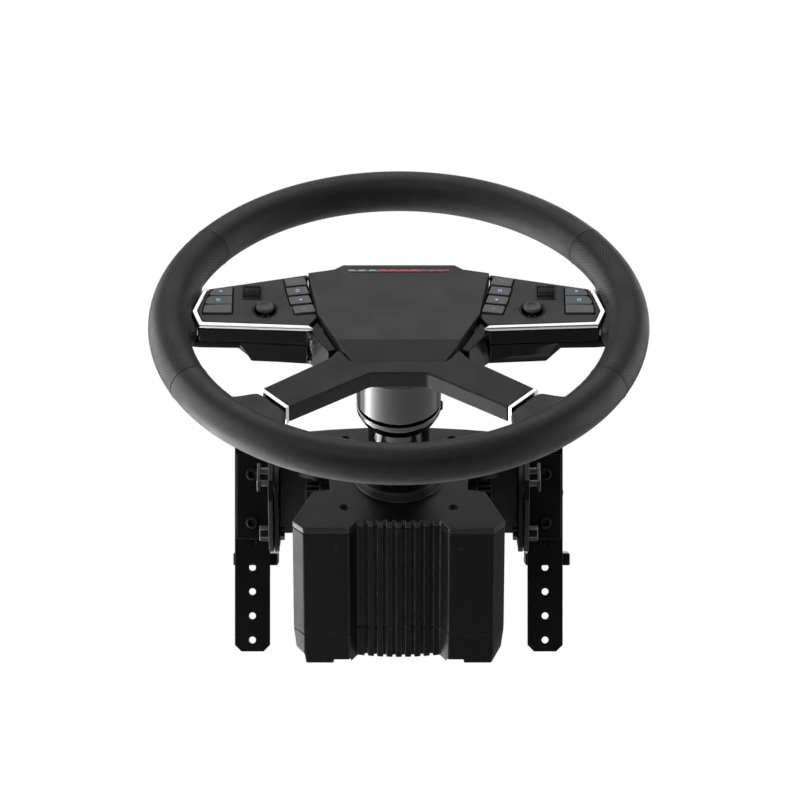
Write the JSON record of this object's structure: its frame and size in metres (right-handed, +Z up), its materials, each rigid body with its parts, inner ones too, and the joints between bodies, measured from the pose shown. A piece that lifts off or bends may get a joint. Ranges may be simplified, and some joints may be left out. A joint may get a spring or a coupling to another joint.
{
  "type": "racing wheel",
  "caption": "Truck-style sim racing steering wheel with button pods on a motor base in the tilting cradle of a two-bar desk clamp.",
  "frame": {"origin": "the front top edge of the desk, half-way between the two hangers", "axes": "+Z up from the desk top, +X to the driver's right, +Y away from the driver, over the desk"},
  "size_m": [0.4, 0.4529, 0.4025],
  "materials": {
    "grip_leather": "matt smooth black leather",
    "matte_panel": "fine textured dark grey",
    "gloss_panel": "gloss black",
    "bright_trim": "satin bright",
    "key_plastic": "satin grey",
    "black_plastic": "matt black",
    "soft_black": "matt",
    "light_lens": "tinted clear",
    "black_aluminium": "black anodised, satin",
    "core_aluminium": "raw",
    "black_steel": "black powder coat",
    "steel": "turned",
    "dark_steel": "blackened",
    "winding": "laminations and enamelled wire",
    "board": "solder mask"
  },
  "bodies": {
    "clamp": {"left_hanger": "black_steel", "left_side_plate": "black_steel", "left_pivot_bolt": "dark_steel", "left_jaw": "black_steel", "right_hanger": "black_steel", "right_side_plate": "black_steel", "right_pivot_bolt": "dark_steel", "right_jaw": "black_steel"},
    "base": {"stator": "winding", "front_bearing": "steel", "rear_bearing": "steel", "front_flange": "black_aluminium", "motor_housing": "black_aluminium", "rear_cover": "black_aluminium", "control_board": "board", "cradle": "black_steel", "left_tilt_lock": "dark_steel", "right_tilt_lock": "dark_steel"},
    "wheel": {"rim_core": "core_aluminium", "rim_grip": "grip_leather", "hub_fascia": "matte_panel", "led_lens": "light_lens", "lower_spoke_cover": "matte_panel", "rear_hub_cover": "black_plastic", "qr_adapter": "black_aluminium", "drive_shaft": "steel", "rotor": "steel", "left_pod_fascia": "matte_panel", "left_pod_trim": "bright_trim", "left_pod_housing": "gloss_panel", "left_lower_trim": "bright_trim", "right_pod_fascia": "matte_panel", "right_pod_trim": "bright_trim", "right_pod_housing": "gloss_panel", "right_lower_trim": "bright_trim"},
    "qr_collar": {"qr_release_collar": "black_aluminium"},
    "left_outer_button_1": {"left_outer_button_1": "key_plastic"},
    "left_outer_button_2": {"left_outer_button_2": "key_plastic"},
    "left_outer_button_3": {"left_outer_button_3": "key_plastic"},
    "left_inner_button_1": {"left_inner_button_1": "key_plastic"},
    "left_inner_button_2": {"left_inner_button_2": "key_plastic"},
    "left_inner_button_3": {"left_inner_button_3": "key_plastic"},
    "left_inner_button_4": {"left_inner_button_4": "key_plastic"},
    "left_roller": {"left_roller": "soft_black"},
    "left_stick_gimbal": {"left_stick_gimbal": "steel"},
    "left_stick": {"left_stick": "soft_black"},
    "left_clamp_pad": {"left_clamp_pad": "soft_black"},
    "left_clamp_screw": {"left_clamp_screw": "dark_steel"},
    "right_outer_button_1": {"right_outer_button_1": "key_plastic"},
    "right_outer_button_2": {"right_outer_button_2": "key_plastic"},
    "right_outer_button_3": {"right_outer_button_3": "key_plastic"},
    "right_inner_button_1": {"right_inner_button_1": "key_plastic"},
    "right_inner_button_2": {"right_inner_button_2": "key_plastic"},
    "right_inner_button_3": {"right_inner_button_3": "key_plastic"},
    "right_inner_button_4": {"right_inner_button_4": "key_plastic"},
    "right_roller": {"right_roller": "soft_black"},
    "right_stick_gimbal": {"right_stick_gimbal": "steel"},
    "right_stick": {"right_stick": "soft_black"},
    "right_clamp_pad": {"right_clamp_pad": "soft_black"},
    "right_clamp_screw": {"right_clamp_screw": "dark_steel"}
  },
  "joints": [
    {"name": "cradle_tilt", "type": "hinge", "parent": "clamp", "child": "base", "pos_m": [0, -0.05, -0.0724], "axis": [1, 0, 0], "range_deg": [-11, 11]},
    {"name": "wheel_rotation", "type": "hinge", "parent": "base", "child": "wheel", "pos_m": [0, -0.19, 0.098], "axis": [0, -0.6018, 0.7986], "continuous": true},
    {"name": "qr_collar_slide", "type": "slide", "parent": "wheel", "child": "qr_collar", "axis": [0, 0.6018, -0.7986], "range_m": [0, 0.005], "stiffness_N_per_m": 400, "springref_m": -0.01},
    {"name": "left_outer_button_1_press", "type": "slide", "parent": "wheel", "child": "left_outer_button_1", "axis": [0, 0.6018, -0.7986], "range_m": [0, 0.0012], "stiffness_N_per_m": 500, "springref_m": -0.003},
    {"name": "left_outer_button_2_press", "type": "slide", "parent": "wheel", "child": "left_outer_button_2", "axis": [0, 0.6018, -0.7986], "range_m": [0, 0.0012], "stiffness_N_per_m": 500, "springref_m": -0.003},
    {"name": "left_outer_button_3_press", "type": "slide", "parent": "wheel", "child": "left_outer_button_3", "axis": [0, 0.6018, -0.7986], "range_m": [0, 0.0012], "stiffness_N_per_m": 500, "springref_m": -0.003},
    {"name": "left_inner_button_1_press", "type": "slide", "parent": "wheel", "child": "left_inner_button_1", "axis": [0, 0.6018, -0.7986], "range_m": [0, 0.0012], "stiffness_N_per_m": 500, "springref_m": -0.003},
    {"name": "left_inner_button_2_press", "type": "slide", "parent": "wheel", "child": "left_inner_button_2", "axis": [0, 0.6018, -0.7986], "range_m": [0, 0.0012], "stiffness_N_per_m": 500, "springref_m": -0.003},
    {"name": "left_inner_button_3_press", "type": "slide", "parent": "wheel", "child": "left_inner_button_3", "axis": [0, 0.6018, -0.7986], "range_m": [0, 0.0012], "stiffness_N_per_m": 500, "springref_m": -0.003},
    {"name": "left_inner_button_4_press", "type": "slide", "parent": "wheel", "child": "left_inner_button_4", "axis": [0, 0.6018, -0.7986], "range_m": [0, 0.0012], "stiffness_N_per_m": 500, "springref_m": -0.003},
    {"name": "left_roller_spin", "type": "hinge", "parent": "wheel", "child": "left_roller", "pos_m": [-0.1178, -0.15457, 0.12044], "axis": [1, 0, 0], "continuous": true},
    {"name": "left_stick_up_down", "type": "hinge", "parent": "wheel", "child": "left_stick_gimbal", "pos_m": [-0.1069, -0.16973, 0.10201], "axis": [1, 0, 0], "range_deg": [-6.5, 6.5], "stiffness_Nm_per_rad": 0.03},
    {"name": "left_stick_left_right", "type": "hinge", "parent": "left_stick_gimbal", "child": "left_stick", "pos_m": [-0.1069, -0.16973, 0.10201], "axis": [0, 0.7986, 0.6018], "range_deg": [-6.5, 6.5], "stiffness_Nm_per_rad": 0.03},
    {"name": "left_pad_lift", "type": "slide", "parent": "clamp", "child": "left_clamp_pad", "axis": [0, 0, 1], "range_m": [-0.0081, 0.0181]},
    {"name": "left_screw_turn", "type": "hinge", "parent": "left_clamp_pad", "child": "left_clamp_screw", "pos_m": [-0.1187, 0.045, -0.07], "axis": [0, 0, 1], "range_deg": [-2340, 5220]},
    {"name": "right_outer_button_1_press", "type": "slide", "parent": "wheel", "child": "right_outer_button_1", "axis": [0, 0.6018, -0.7986], "range_m": [0, 0.0012], "stiffness_N_per_m": 500, "springref_m": -0.003},
    {"name": "right_outer_button_2_press", "type": "slide", "parent": "wheel", "child": "right_outer_button_2", "axis": [0, 0.6018, -0.7986], "range_m": [0, 0.0012], "stiffness_N_per_m": 500, "springref_m": -0.003},
    {"name": "right_outer_button_3_press", "type": "slide", "parent": "wheel", "child": "right_outer_button_3", "axis": [0, 0.6018, -0.7986], "range_m": [0, 0.0012], "stiffness_N_per_m": 500, "springref_m": -0.003},
    {"name": "right_inner_button_1_press", "type": "slide", "parent": "wheel", "child": "right_inner_button_1", "axis": [0, 0.6018, -0.7986], "range_m": [0, 0.0012], "stiffness_N_per_m": 500, "springref_m": -0.003},
    {"name": "right_inner_button_2_press", "type": "slide", "parent": "wheel", "child": "right_inner_button_2", "axis": [0, 0.6018, -0.7986], "range_m": [0, 0.0012], "stiffness_N_per_m": 500, "springref_m": -0.003},
    {"name": "right_inner_button_3_press", "type": "slide", "parent": "wheel", "child": "right_inner_button_3", "axis": [0, 0.6018, -0.7986], "range_m": [0, 0.0012], "stiffness_N_per_m": 500, "springref_m": -0.003},
    {"name": "right_inner_button_4_press", "type": "slide", "parent": "wheel", "child": "right_inner_button_4", "axis": [0, 0.6018, -0.7986], "range_m": [0, 0.0012], "stiffness_N_per_m": 500, "springref_m": -0.003},
    {"name": "right_roller_spin", "type": "hinge", "parent": "wheel", "child": "right_roller", "pos_m": [0.1178, -0.15457, 0.12044], "axis": [1, 0, 0], "continuous": true},
    {"name": "right_stick_up_down", "type": "hinge", "parent": "wheel", "child": "right_stick_gimbal", "pos_m": [0.1069, -0.16973, 0.10201], "axis": [1, 0, 0], "range_deg": [-6.5, 6.5], "stiffness_Nm_per_rad": 0.03},
    {"name": "right_stick_left_right", "type": "hinge", "parent": "right_stick_gimbal", "child": "right_stick", "pos_m": [0.1069, -0.16973, 0.10201], "axis": [0, 0.7986, 0.6018], "range_deg": [-6.5, 6.5], "stiffness_Nm_per_rad": 0.03},
    {"name": "right_pad_lift", "type": "slide", "parent": "clamp", "child": "right_clamp_pad", "axis": [0, 0, 1], "range_m": [-0.0081, 0.0181]},
    {"name": "right_screw_turn", "type": "hinge", "parent": "right_clamp_pad", "child": "right_clamp_screw", "pos_m": [0.1233, 0.045, -0.07], "axis": [0, 0, 1], "range_deg": [-2340, 5220]}
  ],
  "couplings": [
    {"joint": "left_screw_turn", "follows": "left_pad_lift", "rad_per_m": 5026.5},
    {"joint": "right_screw_turn", "follows": "right_pad_lift", "rad_per_m": 5026.5}
  ]
}
